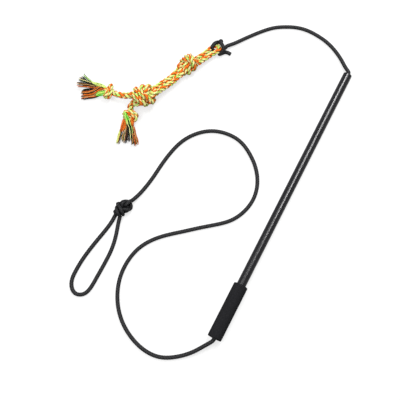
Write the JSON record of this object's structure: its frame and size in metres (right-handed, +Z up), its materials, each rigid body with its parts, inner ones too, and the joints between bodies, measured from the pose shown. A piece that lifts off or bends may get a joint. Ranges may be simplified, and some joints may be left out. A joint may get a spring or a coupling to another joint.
{
  "type": "dog training stick",
  "caption": "Dog training stick: straight tube with a foam grip, a braided cord right through it, a hand loop behind the grip and a knotted two-tailed rope toy tied on in front.",
  "frame": {"origin": "on the surface that everything lies on, below the middle of the box that holds the pole and the rope toy", "axes": "+X along the pole from the grip to the tip, +Y across the surface from the pole to the rope toy, +Z up"},
  "size_m": [0.7412, 0.4946, 0.0434],
  "materials": {
    "black_tube": "satin extruded tube with fine lines along it",
    "black_plastic": "moulded, slightly domed lip",
    "black_foam": "closed-cell foam, fine pores, square-cut ends",
    "black_braid": "round braided polyester cord",
    "cotton_rope": "three-ply twisted cotton rope in orange, pale yellow and lime yarns",
    "frayed_yarn": "loose cotton yarns in orange, yellow, lime, dark green and brown"
  },
  "bodies": {
    "pole": {"pole_tube": "black_tube", "tip_bush": "black_plastic", "butt_bush": "black_plastic", "foam_grip": "black_foam", "inner_line": "black_braid"},
    "lure_line": {"lure_line": "black_braid", "tie_ring": "black_braid", "tie_knot": "black_braid", "tie_tail": "black_braid"},
    "toy": {"toy_eye_rope": "cotton_rope", "toy_upper_knot": "cotton_rope", "shank_rope_left": "cotton_rope", "shank_rope_right": "cotton_rope", "toy_big_knot": "cotton_rope"},
    "leg_a": {"leg_a_rope": "cotton_rope", "leg_a_knot": "cotton_rope", "leg_a_tassel": "frayed_yarn"},
    "leg_b": {"leg_b_rope": "cotton_rope", "leg_b_knot": "cotton_rope", "leg_b_tassel": "frayed_yarn"},
    "hand_line": {"hand_line": "black_braid"},
    "hand_loop": {"hand_knot": "black_braid", "hand_loop": "black_braid"}
  },
  "joints": [
    {"name": "lure_swing", "type": "hinge", "parent": "pole", "child": "lure_line", "pos_m": [0.30428, -0.233, 0.00896], "axis": [0, 0, 1], "range_deg": [-90, 0]},
    {"name": "toy_swing", "type": "hinge", "parent": "lure_line", "child": "toy", "pos_m": [0.222, 0.039, 0.0141], "axis": [0, 0, 1], "range_deg": [-100, 0]},
    {"name": "leg_a_swing", "type": "hinge", "parent": "toy", "child": "leg_a", "pos_m": [0.0562, 0.132, 0.018], "axis": [0, 0, 1], "range_deg": [-25, 15]},
    {"name": "leg_b_swing", "type": "hinge", "parent": "toy", "child": "leg_b", "pos_m": [0.0452, 0.119, 0.018], "axis": [0, 0, 1], "range_deg": [-15, 25]},
    {"name": "hand_swing", "type": "hinge", "parent": "pole", "child": "hand_line", "pos_m": [-0.30428, -0.233, 0.01518], "axis": [0, 0, 1], "range_deg": [0, 90]},
    {"name": "loop_swing", "type": "hinge", "parent": "hand_line", "child": "hand_loop", "pos_m": [-0.1375, 0.0305, 0.0098], "axis": [0, 0, 1], "range_deg": [-45, 10]}
  ]
}
